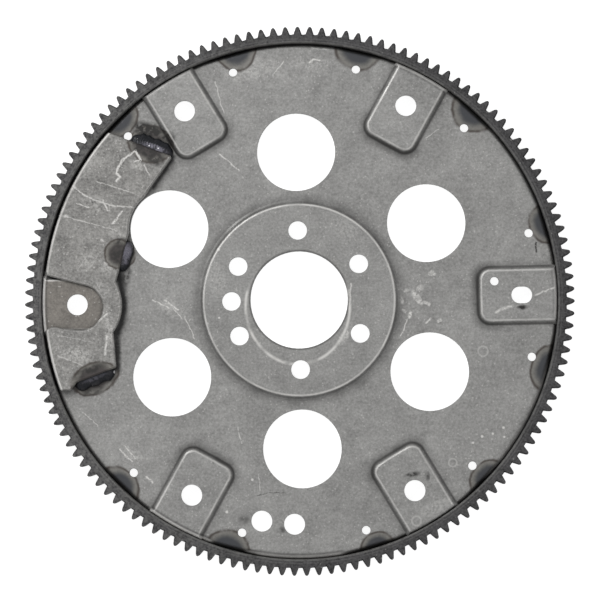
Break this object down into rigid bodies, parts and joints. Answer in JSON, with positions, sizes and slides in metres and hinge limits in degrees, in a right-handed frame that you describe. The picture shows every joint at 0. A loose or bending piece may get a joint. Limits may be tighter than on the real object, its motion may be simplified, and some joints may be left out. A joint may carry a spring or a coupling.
{
  "type": "flexplate",
  "caption": "Pressed steel flexplate with a starter ring gear round its rim and a welded counterweight, bolted between an engine's crankshaft and a torque converter.",
  "frame": {"origin": "on the crankshaft's axis, at the raised hub face round the pilot bore", "axes": "+Z along the crankshaft's axis, away from the disc on the side that the picture shows; +X towards the pad with the slotted hole"},
  "size_m": [0.358, 0.358, 0.014],
  "materials": {
    "disc_steel": "worn, mottled, with heat tints round the welds",
    "ring_steel": "dark, dull",
    "weight_steel": "worn, mottled, scratched",
    "weld_steel": "dark blue-grey weld scale"
  },
  "bodies": {
    "root": {"flexplate_disc": "disc_steel", "ring_gear": "ring_steel", "counterweight": "weight_steel", "counterweight_weld_upper": "weld_steel", "counterweight_weld_inner": "weld_steel", "counterweight_weld_lower": "weld_steel", "ring_weld_01": "weld_steel", "ring_weld_02": "weld_steel", "ring_weld_03": "weld_steel", "ring_weld_04": "weld_steel", "ring_weld_05": "weld_steel", "ring_weld_06": "weld_steel", "ring_weld_07": "weld_steel", "ring_weld_08": "weld_steel", "ring_weld_09": "weld_steel", "ring_weld_10": "weld_steel", "ring_weld_11": "weld_steel", "ring_weld_12": "weld_steel"}
  },
  "joints": []
}
